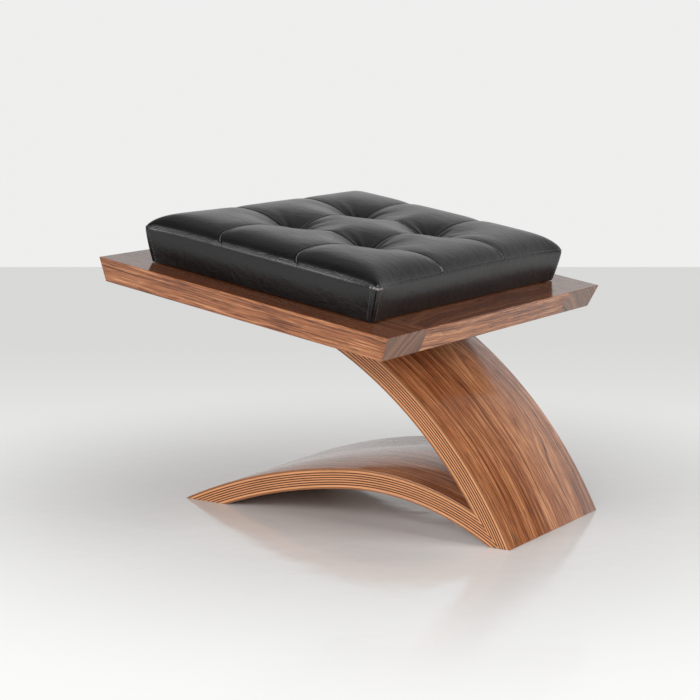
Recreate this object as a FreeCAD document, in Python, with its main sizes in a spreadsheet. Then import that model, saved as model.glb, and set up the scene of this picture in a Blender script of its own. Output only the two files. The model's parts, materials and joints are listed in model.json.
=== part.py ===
"""Kneeling bench: a tilted walnut seat frame with a loose tufted cushion, carried on one
bent-ply upright that is mitred at the heel to a low bent-ply base arch.

Row frame: +X forward (towards the knees), +Y to the kneeler's left, +Z up, millimetres.
The origin is on the floor at the middle of the bench's length and width.
The seat and everything on it are built in the seat's own frame, whose origin is the middle
of the frame's top face, and then tilted and lifted into place.
"""

import os
from math import atan2, cos, degrees, hypot, radians, sin, sqrt, tan

import FreeCAD, Part
from FreeCAD import Placement, Rotation, Vector

doc = FreeCAD.newDocument("kneeling_bench")

# ---------------------------------------------------------------- driving dimensions
DRIVING = [
    ("seat_width", 457.2, "across the seat frame, at its top edges"),
    ("seat_depth", 355.6, "front to back along the seat, at its top edges"),
    ("seat_thick", 25.4, "frame rail thickness"),
    ("seat_tilt", 9.0, "forward slope of the seat, degrees"),
    ("seat_height", 254.0, "floor to the middle of the frame's top face"),
    ("edge_bevel", 15.0, "undercut of the frame's four edges, degrees"),
    ("arris", 0.6, "chamfer that breaks the frame's edges"),
    ("rail_width", 76.2, "width of each rail"),
    ("panel_thick", 19.05, "seat panel, flush with the underside of the rails"),
    ("tongue_thick", 6.35, "tongue round the seat panel"),
    ("tongue_reach", 8.0, "how far the tongue enters the rails"),
    ("dowel_dia", 9.5, "rail dowel diameter"),
    ("dowel_long", 50.0, "rail dowel length"),
    ("dowel_inner", 122.0, "inner dowel of a pair, from the seat's middle"),
    ("dowel_outer", 152.0, "outer dowel of a pair, from the seat's middle"),
    ("heel_reach", 208.0, "origin to the heel, the front end of the base"),
    ("member_width", 196.85, "width of the upright and of the base"),
    ("upright_radius", 464.0, "front face of the upright"),
    ("upright_drop", 203.5, "floor down to the centre of the upright's arc"),
    ("upright_back", 100.0, "seat middle back to the upright's top end"),
    ("heel_radius", 306.0, "top face of the base, from the crown to the heel"),
    ("heel_centre_back", 168.3, "heel back to the centre of that arc"),
    ("heel_centre_drop", 245.2, "floor down to the centre of that arc"),
    ("tip_radius", 618.5, "top face of the base, from the crown to the tip"),
    ("crown_angle", 5.8, "where the two arcs meet, degrees behind vertical"),
    ("veneer", 2.2, "walnut face veneer"),
    ("long_ply", 2.05, "outermost ply under each face veneer"),
    ("core_ply", 1.25, "each of the plies between those"),
    ("spline_thick", 6.0, "loose tongue in the heel mitre"),
    ("spline_wide", 18.0, "the tongue across the mitre"),
    ("spline_stop", 15.0, "the tongue stops this far from each side"),
    ("screw_long", 28.0, "countersunk screw, head face to tip"),
    ("screw_dia", 4.5, "screw shank"),
    ("screw_head", 8.5, "screw head"),
    ("screw_cone", 2.6, "height of the head's cone"),
    ("cushion_depth", 268.0, "cushion front to back where it sits on the frame"),
    ("cushion_width", 375.0, "cushion side to side where it sits on the frame"),
    ("cushion_flare", 7.0, "how far each side leans out up to the top seam"),
    ("cushion_side", 38.0, "height of the side bands"),
    ("crown_rise", 18.0, "each quilted panel's middle above its corners"),
    ("roll_rise", 20.0, "height of the slope that rounds off the top seam"),
    ("roll_run", 16.0, "run of that slope"),
    ("leather", 1.3, "leather thickness"),
    ("rest_gap", 0.2, "clearance under the loose cushion"),
    ("lining", 0.8, "cloth under the cushion board"),
    ("board_thick", 9.5, "plywood board in the cushion"),
    ("twine_dia", 1.8, "tufting twine"),
    ("toggle_dia", 16.0, "disc that anchors each twine"),
    ("toggle_thick", 3.0, "disc thickness"),
    ("toggle_recess", 3.5, "depth of the recess for each disc"),
    ("strip_wide", 25.4, "hook and loop strip width"),
    ("strip_long", 200.0, "hook and loop strip length"),
    ("strip_thick", 3.0, "each strip's thickness"),
    ("strip_out", 60.0, "each strip's middle from the seat's middle"),
]
CORE_PLIES = 11
SCREW_BACK = (30.0, 82.0)
SCREW_SIDE = (-70.0, 0.0, 70.0)

sheet = doc.addObject("Spreadsheet::Sheet", "Sizes")
S = {}


def put(alias, value, note):
    """One named size in the sheet, and in S for the few places worked out in Python."""
    row = len(S) + 1
    sheet.set(f"A{row}", alias)
    sheet.set(f"B{row}", repr(float(value)))
    sheet.set(f"C{row}", note)
    sheet.setAlias(f"B{row}", alias)
    S[alias] = float(value)


for entry in DRIVING:
    put(*entry)


# ---------------------------------------------------------------- sizes that follow
def circles_meet(first, first_radius, second, second_radius):
    """The crossing of two circles in the XZ plane that lies further forward."""
    run, rise = second[0] - first[0], second[1] - first[1]
    gap = hypot(run, rise)
    along = (gap**2 + first_radius**2 - second_radius**2) / (2 * gap)
    off = sqrt(first_radius**2 - along**2)
    mid = (first[0] + run * along / gap, first[1] + rise * along / gap)
    ends = [(mid[0] + side * off * rise / gap, mid[1] - side * off * run / gap) for side in (-1, 1)]
    return max(ends)


MEMBER_THICK = 2 * (S["veneer"] + S["long_ply"]) + CORE_PLIES * S["core_ply"]
UPRIGHT_CENTRE = (
    S["heel_reach"] - sqrt(S["upright_radius"] ** 2 - S["upright_drop"] ** 2),
    -S["upright_drop"],
)
HEEL_CENTRE = (S["heel_reach"] - S["heel_centre_back"], -S["heel_centre_drop"])
RADIUS_STEP = S["tip_radius"] - S["heel_radius"]
TIP_CENTRE = (
    HEEL_CENTRE[0] + RADIUS_STEP * sin(radians(S["crown_angle"])),
    HEEL_CENTRE[1] - RADIUS_STEP * cos(radians(S["crown_angle"])),
)
# The mitre runs through both crossings of the members' faces: the inner corner, where the
# two meet in the open, and the outer corner, which the floor cuts off.
INNER_CORNER = circles_meet(
    UPRIGHT_CENTRE, S["upright_radius"] - MEMBER_THICK, HEEL_CENTRE, S["heel_radius"]
)
OUTER_CORNER = circles_meet(
    UPRIGHT_CENTRE, S["upright_radius"], HEEL_CENTRE, S["heel_radius"] - MEMBER_THICK
)
MITRE_ANGLE = degrees(
    atan2(INNER_CORNER[1] - OUTER_CORNER[1], OUTER_CORNER[0] - INNER_CORNER[0])
)
MITRE_LONG = INNER_CORNER[1] / sin(radians(MITRE_ANGLE))
MITRE_FLOOR = INNER_CORNER[0] + MITRE_LONG * cos(radians(MITRE_ANGLE))

put("member_thick", MEMBER_THICK, "upright and base, all plies")
put("upright_x", UPRIGHT_CENTRE[0], "centre of the upright's arc")
put("heel_x", HEEL_CENTRE[0], "centre of the base's heel arc")
put("tip_x", TIP_CENTRE[0], "centre of the base's tip arc")
put("tip_drop", -TIP_CENTRE[1], "floor down to the centre of the tip arc")
put("mitre_angle", MITRE_ANGLE, "slope of the heel mitre, degrees")
put("mitre_floor", MITRE_FLOOR, "where the mitre meets the floor")
put("mitre_long", MITRE_LONG, "inner corner to the floor along the mitre")
put("bevel", S["seat_thick"] * tan(radians(S["edge_bevel"])), "undercut of the frame's edges")
put(
    "seat_x",
    S["seat_depth"] / 2 * cos(radians(S["seat_tilt"])) - S["heel_reach"],
    "middle of the seat, so that its back edge is as far from the origin as the heel",
)
doc.recompute()


# ---------------------------------------------------------------- helpers
def bind(thing, sizes):
    """Bind each property to a formula in which @name is a cell of the sheet."""
    for path, formula in sizes.items():
        thing.setExpression(path, formula.replace("@", "Sizes."))
    return thing


def box(name, x, y, z, turn=None):
    """A box from formulas: each of x, y and z is (low end, length)."""
    made = doc.addObject("Part::Box", name)
    if turn:
        made.Placement = Placement(Vector(), turn)
    return bind(
        made,
        {
            "Length": x[1],
            "Width": y[1],
            "Height": z[1],
            "Placement.Base.x": x[0],
            "Placement.Base.y": y[0],
            "Placement.Base.z": z[0],
        },
    )


def round_bar(name, radius, height, at, turn=None):
    """A cylinder from formulas, along Z unless it is turned."""
    made = doc.addObject("Part::Cylinder", name)
    if turn:
        made.Placement = Placement(Vector(), turn)
    sizes = {"Radius": radius, "Height": height}
    sizes.update({f"Placement.Base.{axis}": value for axis, value in zip("xyz", at)})
    return bind(made, sizes)


def frustum(name, low_z, high_z, low_half, high_half):
    """A four-sided block with level ends, wider or narrower at its top, centred on Z."""
    made = doc.addObject("Part::Wedge", name)
    made.Placement = Placement(Vector(), Rotation(Vector(1, 0, 0), 90))
    return bind(
        made,
        {
            "Ymin": low_z,
            "Ymax": high_z,
            "Xmin": f"-({low_half[0]})",
            "Xmax": low_half[0],
            "Zmin": f"-({low_half[1]})",
            "Zmax": low_half[1],
            "X2min": f"-({high_half[0]})",
            "X2max": high_half[0],
            "Z2min": f"-({high_half[1]})",
            "Z2max": high_half[1],
        },
    )


def cut(name, base, tool):
    made = doc.addObject("Part::Cut", name)
    made.Base, made.Tool = base, tool
    return made


def shared(name, base, tool):
    made = doc.addObject("Part::Common", name)
    made.Base, made.Tool = base, tool
    return made


def shared_by_all(name, *things):
    made = doc.addObject("Part::MultiCommon", name)
    made.Shapes = things
    return made


def joined(name, *things):
    made = doc.addObject("Part::MultiFuse", name)
    made.Shapes = things
    return made


def grouped(name, *things):
    made = doc.addObject("Part::Compound", name)
    made.Links = things
    return made


nodes = []


def node(thing, label, on_seat=False):
    """Keep a finished sub-part; one built in the seat's frame is tilted and lifted here."""
    thing.Label = label
    if on_seat:
        thing.Placement = Placement(Vector(), Rotation(Vector(0, 1, 0), S["seat_tilt"]))
        bind(
            thing,
            {
                "Placement.Base.x": "@seat_x",
                "Placement.Base.z": "@seat_height",
                "Placement.Rotation.Angle": "@seat_tilt * 1deg",
            },
        )
    nodes.append(thing)
    return thing


# ---------------------------------------------------------------- seat fasteners
def seat_screw(number, x, y):
    """A countersunk wood screw, head flush with the top of the seat panel."""
    top = "-@seat_thick + @panel_thick"
    head = doc.addObject("Part::Cone", f"screw_head_{number}")
    bind(
        head,
        {
            "Radius1": "@screw_dia / 2",
            "Radius2": "@screw_head / 2",
            "Height": "@screw_cone",
            "Placement.Base.x": str(x),
            "Placement.Base.y": str(y),
            "Placement.Base.z": f"{top} - @screw_cone",
        },
    )
    shank = round_bar(
        f"screw_shank_{number}",
        "@screw_dia / 2",
        "@screw_long - @screw_cone",
        (str(x), str(y), f"{top} - @screw_long"),
    )
    return joined(f"screw_{number}", head, shank)


screw_places = [(-back, side) for back in SCREW_BACK for side in SCREW_SIDE]
screws = grouped("screw_set", *(seat_screw(i, *at) for i, at in enumerate(screw_places, 1)))


def rail_dowel(number, x, side):
    """One dowel across the joint between a side rail and an end rail."""
    return round_bar(
        f"rail_dowel_{number}",
        "@dowel_dia / 2",
        "@dowel_long",
        (x, f"{side} * (@seat_width / 2 - @rail_width) + @dowel_long / 2", "-@seat_thick / 2"),
        Rotation(Vector(1, 0, 0), 90),
    )


dowel_places = [
    (f"{end} * @dowel_{which}", side)
    for end in (-1, 1)
    for which in ("inner", "outer")
    for side in (-1, 1)
]
dowels = grouped("dowel_set", *(rail_dowel(i, *at) for i, at in enumerate(dowel_places, 1)))


# ---------------------------------------------------------------- seat frame
HALF_X, HALF_Y = "@seat_depth / 2", "@seat_width / 2"
WELL_X, WELL_Y = "(@seat_depth / 2 - @rail_width)", "(@seat_width / 2 - @rail_width)"
CLEAR = "5"  # how far a cutting block runs past the frame

seat_block = frustum(
    "seat_block",
    "-@seat_thick",
    "0",
    (f"{HALF_X} - @bevel", f"{HALF_Y} - @bevel"),
    (HALF_X, HALF_Y),
)
seat_blank = doc.addObject("Part::Chamfer", "seat_blank")
seat_blank.Base = seat_block
doc.recompute()
seat_blank.Edges = [(i + 1, S["arris"], S["arris"]) for i in range(len(seat_block.Shape.Edges))]

groove = box(
    "panel_groove",
    (f"-{WELL_X} - @tongue_reach", f"2 * ({WELL_X} + @tongue_reach)"),
    (f"-{WELL_Y} - @tongue_reach", f"2 * ({WELL_Y} + @tongue_reach)"),
    ("-@seat_thick + (@panel_thick - @tongue_thick) / 2", "@tongue_thick"),
)
rail_cuts = joined("rail_cuts", groove, dowels)


def rail(label, x, y):
    """One rail: the part of the bevelled blank inside a box, less its groove and dowel holes."""
    block = box(f"{label}_block", x, y, (f"-@seat_thick - {CLEAR}", f"@seat_thick + 2 * {CLEAR}"))
    return node(cut(label, shared(f"{label}_blank", seat_blank, block), rail_cuts), label, True)


FULL_X = (f"-{HALF_X} - {CLEAR}", f"@seat_depth + 2 * {CLEAR}")
BETWEEN_Y = (f"-{WELL_Y}", f"2 * {WELL_Y}")
rail("right_side_rail", FULL_X, (f"-{HALF_Y} - {CLEAR}", f"@rail_width + {CLEAR}"))
rail("left_side_rail", FULL_X, (WELL_Y, f"@rail_width + {CLEAR}"))
rail("front_end_rail", (WELL_X, f"@rail_width + {CLEAR}"), BETWEEN_Y)
rail("rear_end_rail", (f"-{HALF_X} - {CLEAR}", f"@rail_width + {CLEAR}"), BETWEEN_Y)

panel_block = box(
    "panel_block",
    (f"-{WELL_X}", f"2 * {WELL_X}"),
    (f"-{WELL_Y}", f"2 * {WELL_Y}"),
    ("-@seat_thick", "@panel_thick"),
)
node(cut("seat_panel", joined("panel_blank", panel_block, groove), screws), "seat_panel", True)
node(grouped("rail_dowels", dowels), "rail_dowels", True)
seat_screws = node(grouped("seat_screws", screws), "seat_screws", True)


# ---------------------------------------------------------------- bent-ply members
LYING = Rotation(Vector(1, 0, 0), 90)  # local X forward, local Y up, sweep from the front
LYING_BACK = Rotation(Vector(-1, 0, 0), Vector(0, 0, 1), Vector(0, 1, 0), "ZXY")
SIDE = "@member_width / 2"


def drum(name, radius, centre, angle, from_back=False):
    """A sector of a cylinder across the bench: the solid inside one face of a bent ply."""
    made = round_bar(
        name,
        radius,
        "@member_width",
        (centre[0], f"-{SIDE}" if from_back else SIDE, centre[1]),
        LYING_BACK if from_back else LYING,
    )
    return bind(made, {"Angle": angle})


def ply_depths():
    """The depth of each glue line below the member's outer face, as formulas."""
    core_top = "@veneer + @long_ply"
    inner = [f"{core_top} + {k} * @core_ply" for k in range(CORE_PLIES + 1)]
    return ["0", "@veneer"] + inner + ["@member_thick - @veneer", "@member_thick"]


def layer_names(member, outer, inner):
    plies = [f"{member}_ply_{k:02d}" for k in range(1, CORE_PLIES + 3)]
    return [f"{member}_{outer}_veneer"] + plies + [f"{member}_{inner}_veneer"]


def mitre_block(name, upper):
    """A block lying along the heel mitre: on its upper side to trim the base, or its lower."""
    reach, past = "60", "12"
    made = doc.addObject("Part::Box", name)
    made.Placement = Placement(Vector(), Rotation(Vector(0, 1, 0), MITRE_ANGLE))
    shift = f"(@mitre_long + {past})"
    drop = "0" if upper else reach
    bind(
        made,
        {
            "Length": f"@mitre_long + {past} + {reach}",
            "Width": f"@member_width + 2 * {CLEAR}",
            "Height": reach,
            "Placement.Rotation.Angle": "@mitre_angle * 1deg",
            "Placement.Base.x": f"@mitre_floor - {shift} * cos(@mitre_angle * 1deg)"
            f" - {drop} * sin(@mitre_angle * 1deg)",
            "Placement.Base.y": f"-{SIDE} - {CLEAR}",
            "Placement.Base.z": f"{shift} * sin(@mitre_angle * 1deg)"
            f" - {drop} * cos(@mitre_angle * 1deg)",
        },
    )
    return made


def heel_tongue():
    """The loose tongue, centred on the mitre and square across it."""
    made = doc.addObject("Part::Box", "heel_spline")
    made.Placement = Placement(Vector(), Rotation(Vector(0, 1, 0), MITRE_ANGLE))
    along = "(@mitre_long / 2 + @spline_thick / 2)"
    bind(
        made,
        {
            "Length": "@spline_thick",
            "Width": "@member_width - 2 * @spline_stop",
            "Height": "@spline_wide",
            "Placement.Rotation.Angle": "@mitre_angle * 1deg",
            "Placement.Base.x": f"@mitre_floor - {along} * cos(@mitre_angle * 1deg)"
            " - @spline_wide / 2 * sin(@mitre_angle * 1deg)",
            "Placement.Base.y": f"-{SIDE} + @spline_stop",
            "Placement.Base.z": f"{along} * sin(@mitre_angle * 1deg)"
            " - @spline_wide / 2 * cos(@mitre_angle * 1deg)",
        },
    )
    return node(made, "heel_spline")


def seat_cutter(name, x):
    """A block in the seat's frame, from the underside of the seat up or down to the floor."""
    over = name == "bed_cutter"
    block = box(
        f"{name}_block",
        x,
        (f"-{SIDE} - {CLEAR}", f"@member_width + 2 * {CLEAR}"),
        ("-@seat_thick" if over else "-@seat_height", "@seat_height"),
    )
    placed = grouped(name, block)
    placed.Placement = Placement(Vector(), Rotation(Vector(0, 1, 0), S["seat_tilt"]))
    return bind(
        placed,
        {
            "Placement.Base.x": "@seat_x",
            "Placement.Base.z": "@seat_height",
            "Placement.Rotation.Angle": "@seat_tilt * 1deg",
        },
    )


heel_spline = heel_tongue()
LENGTH = "2 * @heel_reach"
ACROSS = (f"-{SIDE} - {CLEAR}", f"@member_width + 2 * {CLEAR}")
base_space = cut(
    "base_space",
    box("base_window", ("-@heel_reach", LENGTH), ACROSS, ("0", "@seat_height / 2")),
    joined("base_cuts", mitre_block("mitre_upper", True), heel_spline),
)
upright_space = cut(
    "upright_space",
    box("upright_window", ("-@heel_reach", f"{LENGTH} + 1"), ACROSS, ("0", "@seat_height + 50")),
    joined(
        "upright_cuts",
        mitre_block("mitre_lower", False),
        heel_spline,
        seat_cutter("bed_cutter", ("-@seat_depth", "2 * @seat_depth")),
        seat_cutter("end_cutter", ("-@upright_back - @seat_depth", "@seat_depth")),
        seat_screws,
    ),
)


def bent_member(member, outer, inner, space, arcs):
    """Every layer of a bent member: rings between neighbouring drums, trimmed to its space.

    Each arc is (name, face radius, centre, sweep, from the back); the rings of a layer
    on the member's arcs are joined where the arcs meet.
    """
    depths = ply_depths()
    drums = [
        [drum(f"{member}_{arc[0]}_{k}", f"{arc[1]} - ({d})", *arc[2:]) for k, d in enumerate(depths)]
        for arc in arcs
    ]
    for k, label in enumerate(layer_names(member, outer, inner)):
        rings = [
            cut(f"{label}_{arc[0]}_ring", faces[k], faces[k + 1]) for arc, faces in zip(arcs, drums)
        ]
        ring = rings[0] if len(rings) == 1 else joined(f"{label}_ring", *rings)
        node(shared(label, ring, space), label)


bent_member(
    "upright",
    "front",
    "rear",
    upright_space,
    [("arc", "@upright_radius", ("@upright_x", "-@upright_drop"), "150deg", False)],
)
bent_member(
    "base",
    "top",
    "bottom",
    base_space,
    [
        ("heel", "@heel_radius", ("@heel_x", "-@heel_centre_drop"), "90deg + @crown_angle * 1deg", False),
        ("tip", "@tip_radius", ("@tip_x", "-@tip_drop"), "90deg - @crown_angle * 1deg", True),
    ],
)


# ---------------------------------------------------------------- cushion
LOW_X, LOW_Y = "(@cushion_depth / 2)", "(@cushion_width / 2)"
TOP_X, TOP_Y = f"({LOW_X} + @cushion_flare)", f"({LOW_Y} + @cushion_flare)"
SEAM_Z = "(@rest_gap + @cushion_side)"
PANEL_X, PANEL_Y = f"({TOP_X} * 2 / 3)", f"({TOP_Y} * 2 / 3)"


def side_band(label, along_x, side):
    """One leather side: a slanting strip, the end bands lapping over the side bands' ends."""
    strip = doc.addObject("Part::Wedge", f"{label}_strip")
    strip.Placement = Placement(Vector(), Rotation(Vector(1, 0, 0), 90))
    sizes = {"Ymin": "@rest_gap", "Ymax": SEAM_Z}
    for mark, half_x, half_y in (("", LOW_X, LOW_Y), ("2", TOP_X, TOP_Y)):
        across, reach = (half_x, half_y) if along_x else (half_y, f"({half_x} - @leather)")
        low, high = f"{across} - @leather", across
        if side < 0:
            low, high = f"-({across})", f"-({across} - @leather)"
        face, run = ("X", "Z") if along_x else ("Z", "X")
        sizes.update(
            {
                f"{face}{mark}min": low,
                f"{face}{mark}max": high,
                f"{run}{mark}min": f"-{reach}",
                f"{run}{mark}max": reach,
            }
        )
    return node(grouped(label, bind(strip, sizes)), label, True)


def slab(name, low, thick):
    """A level slice of the cushion's core."""
    block = box(
        f"{name}_block",
        (f"-{TOP_X}", f"2 * {TOP_X}"),
        (f"-{TOP_Y}", f"2 * {TOP_Y}"),
        (low, thick),
    )
    return shared(f"{name}_slab", core, block)


def pillow(name, column, row, skin):
    """One quilted panel's dome: a ball's cap over its third of the top, sloped at the rim."""
    quarter = box(
        f"{name}_square",
        (f"({column} - 0.5) * {PANEL_X}", PANEL_X),
        (f"({row} - 0.5) * {PANEL_Y}", PANEL_Y),
        (SEAM_Z, "@roll_rise"),
    )
    ball = doc.addObject("Part::Sphere", f"{name}_ball")
    reach = f"(({PANEL_X} / 2) ^ 2 + ({PANEL_Y} / 2) ^ 2)"
    radius = f"(({reach} + @crown_rise ^ 2) / (2 * @crown_rise))"
    bind(
        ball,
        {
            "Radius": radius if skin else f"{radius} - @leather",
            "Placement.Base.x": f"{column} * {PANEL_X}",
            "Placement.Base.y": f"{row} * {PANEL_Y}",
            "Placement.Base.z": f"{SEAM_Z} + @leather + @crown_rise - {radius}",
        },
    )
    return shared_by_all(name, quarter, ball, rim_outer if skin else rim_inner)


core = frustum(
    "cushion_core",
    "@rest_gap",
    SEAM_Z,
    (f"{LOW_X} - @leather", f"{LOW_Y} - @leather"),
    (f"{TOP_X} - @leather", f"{TOP_Y} - @leather"),
)
rim_outer = frustum(
    "rim_outer",
    SEAM_Z,
    f"{SEAM_Z} + @roll_rise",
    (TOP_X, TOP_Y),
    (f"{TOP_X} - @roll_run", f"{TOP_Y} - @roll_run"),
)
rim_inner = frustum(
    "rim_inner",
    SEAM_Z,
    f"{SEAM_Z} + @roll_rise",
    (f"{TOP_X} - 1.5 * @leather", f"{TOP_Y} - 1.5 * @leather"),
    (f"{TOP_X} - @roll_run - 1.5 * @leather", f"{TOP_Y} - @roll_run - 1.5 * @leather"),
)

BOARD_Z = "(@rest_gap + @lining)"
corners = [(column, row) for column in (-1, 1) for row in (-1, 1)]
twines = [
    round_bar(
        f"twine_{i}",
        "@twine_dia / 2",
        f"{SEAM_Z} - {BOARD_Z}",
        (f"{column} * {PANEL_X} / 2", f"{row} * {PANEL_Y} / 2", BOARD_Z),
    )
    for i, (column, row) in enumerate(corners, 1)
]
tuft_twines = grouped("twine_set", *twines)


def disc(name, column, row, wide, thick, low):
    at = (f"{column} * {PANEL_X} / 2", f"{row} * {PANEL_Y} / 2", low)
    return round_bar(name, f"{wide} / 2", thick, at)


recesses = [
    disc(f"recess_{i}", *at, "(@toggle_dia + 1)", "@toggle_recess", BOARD_Z)
    for i, at in enumerate(corners, 1)
]
discs = [
    cut(
        f"toggle_{i}",
        disc(
            f"toggle_blank_{i}",
            *at,
            "@toggle_dia",
            "@toggle_thick",
            f"{BOARD_Z} + @toggle_recess - @toggle_thick",
        ),
        twine,
    )
    for i, (at, twine) in enumerate(zip(corners, twines), 1)
]

node(slab("cushion_lining", "@rest_gap", "@lining"), "cushion_lining", True)
board_cuts = joined("board_cuts", tuft_twines, *recesses)
board = cut("cushion_board", slab("board", BOARD_Z, "@board_thick"), board_cuts)
node(board, "cushion_board", True)

GRID = [(column, row) for column in (-1, 0, 1) for row in (-1, 0, 1)]
COLUMN_NAMES = {-1: "rear", 0: "middle", 1: "front"}
ROW_NAMES = {-1: "right", 0: "centre", 1: "left"}
foam_domes = [pillow(f"foam_dome_{c + 1}_{r + 1}", c, r, False) for c, r in GRID]
foam_low = f"{BOARD_Z} + @board_thick"
foam_slab = slab("foam", foam_low, f"{SEAM_Z} - ({foam_low})")
foam = cut("cushion_foam", joined("foam_blank", foam_slab, *foam_domes), tuft_twines)
node(foam, "cushion_foam", True)

for (column, row), dome in zip(GRID, foam_domes):
    label = f"top_panel_{COLUMN_NAMES[column]}_{ROW_NAMES[row]}"
    node(cut(label, pillow(f"{label}_blank", column, row, True), dome), label, True)

side_band("cushion_front_band", True, 1)
side_band("cushion_rear_band", True, -1)
side_band("cushion_left_band", False, -1)
side_band("cushion_right_band", False, 1)
node(grouped("tuft_twine", tuft_twines), "tuft_twine", True)
node(grouped("tuft_toggles", *discs), "tuft_toggles", True)


def strips(label, low):
    """A pair of strips across the seat, one ahead of its middle and one behind."""
    pair = [
        box(
            f"{label}_{end}",
            (f"{side} * @strip_out - @strip_wide / 2", "@strip_wide"),
            ("-@strip_long / 2", "@strip_long"),
            (low, "@strip_thick"),
        )
        for end, side in (("front", 1), ("rear", -1))
    ]
    node(grouped(label, *pair), label, True)


strips("hook_strips", "-@seat_thick + @panel_thick")
strips("loop_strips", "@rest_gap - @strip_thick")


# ---------------------------------------------------------------- check and write
doc.recompute()
for thing in doc.Objects:
    if "Invalid" in thing.State or "Error" in thing.State:
        raise RuntimeError(f"{thing.Name} did not compute: {thing.State}")
for thing in nodes:
    if thing.Shape.isNull() or not thing.Shape.isValid() or not thing.Shape.Solids:
        raise RuntimeError(f"{thing.Label} has no valid solid")

os.makedirs("parts", exist_ok=True)
for thing in nodes:
    thing.Shape.exportStep(f"parts/{thing.Label}.step")
    print(f"{thing.Label}: {len(thing.Shape.Solids)} solids, {thing.Shape.Volume:.0f} mm3")
print(f"{len(nodes)} nodes")
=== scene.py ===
"""Dresses the kneeling bench: walnut frame, bent-ply upright and base, and a tufted leather
cushion, with the floor, backdrop, lamps and camera round them.

Sizes are metres in the bench's own frame: +X forward, +Y to the kneeler's left, +Z up.
"""

import json
from math import asin, atan2, ceil, cos, exp, hypot, pi, radians, sin, sqrt

import bpy
from mathutils import Matrix, Vector


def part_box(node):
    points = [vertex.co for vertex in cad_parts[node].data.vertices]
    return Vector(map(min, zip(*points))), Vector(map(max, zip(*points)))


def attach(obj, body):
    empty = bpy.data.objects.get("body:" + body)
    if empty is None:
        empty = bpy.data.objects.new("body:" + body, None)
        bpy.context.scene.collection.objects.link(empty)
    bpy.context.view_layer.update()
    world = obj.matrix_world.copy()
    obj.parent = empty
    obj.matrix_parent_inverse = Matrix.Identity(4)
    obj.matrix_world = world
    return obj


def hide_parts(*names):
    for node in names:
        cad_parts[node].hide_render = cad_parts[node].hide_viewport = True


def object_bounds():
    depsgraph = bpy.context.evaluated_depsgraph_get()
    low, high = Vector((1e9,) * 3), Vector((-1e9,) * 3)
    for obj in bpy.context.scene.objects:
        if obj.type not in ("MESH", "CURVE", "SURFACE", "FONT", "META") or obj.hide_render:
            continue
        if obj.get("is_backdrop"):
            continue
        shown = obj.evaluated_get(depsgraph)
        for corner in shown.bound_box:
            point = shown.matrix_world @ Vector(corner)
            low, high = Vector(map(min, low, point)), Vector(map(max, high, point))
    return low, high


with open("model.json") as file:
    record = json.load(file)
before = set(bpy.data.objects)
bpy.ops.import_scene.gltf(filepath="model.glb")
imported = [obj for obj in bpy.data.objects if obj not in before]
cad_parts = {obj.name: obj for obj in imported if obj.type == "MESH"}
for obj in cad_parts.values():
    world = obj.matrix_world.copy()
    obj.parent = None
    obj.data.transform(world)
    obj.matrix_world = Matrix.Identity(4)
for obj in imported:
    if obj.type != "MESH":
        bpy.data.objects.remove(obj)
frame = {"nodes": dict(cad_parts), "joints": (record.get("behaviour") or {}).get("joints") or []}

bl_info = {
    "name": "Kneeling Bench",
    "version": (1, 0, 0),
    "blender": (4, 5, 0),
    "location": "3D View > Sidebar > Bench",
    "description": "Dresses a bent-ply kneeling bench and its tufted cushion",
    "category": "Object",
}

MM = 0.001
RAILS = ("right_side_rail", "left_side_rail", "front_end_rail", "rear_end_rail")
PANELS = [
    f"top_panel_{column}_{row}"
    for column in ("rear", "middle", "front")
    for row in ("right", "centre", "left")
]
BANDS = [f"cushion_{side}_band" for side in ("front", "rear", "left", "right")]
PLIES = 13


# ---------------------------------------------------------------- the seat's own frame
def reach(nodes, direction):
    """How far these solids reach along a direction, lowest and highest."""
    spans = [direction.dot(v.co) for n in nodes for v in frame["nodes"][n].data.vertices]
    return min(spans), max(spans)


# The cushion lifts square to the seat, so its joint's axis is the seat's normal.
SEAT_UP = Vector(frame["joints"][0]["axis"]).normalized()
SEAT_ALONG = Vector((0, 1, 0)).cross(SEAT_UP)
SEAT_TILT = asin(SEAT_UP.x)
SEAT_MIDDLE = (
    SEAT_ALONG * sum(reach(RAILS, SEAT_ALONG)) / 2 + SEAT_UP * reach(RAILS, SEAT_UP)[1]
)
SEAT_UNDER = reach(RAILS, SEAT_UP)[0] - reach(RAILS, SEAT_UP)[1]
SEAT = Matrix((SEAT_ALONG, Vector((0, 1, 0)), SEAT_UP)).transposed().to_4x4()
SEAT.translation = SEAT_MIDDLE


# ---------------------------------------------------------------- sizes and colours
def length(name, description, default):
    """A length that the panel shows; its default is given in millimetres."""
    return bpy.props.FloatProperty(
        name=name, description=description, default=default * MM, unit="LENGTH", precision=4
    )


def angle(name, description, default):
    """An angle that the panel shows; its default is given in degrees."""
    return bpy.props.FloatProperty(
        name=name, description=description, default=radians(default), subtype="ANGLE"
    )


def paint(name, description, default):
    """A linear colour."""
    return bpy.props.FloatVectorProperty(
        name=name, description=description, default=default, size=3, min=0, max=1, subtype="COLOR"
    )


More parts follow.
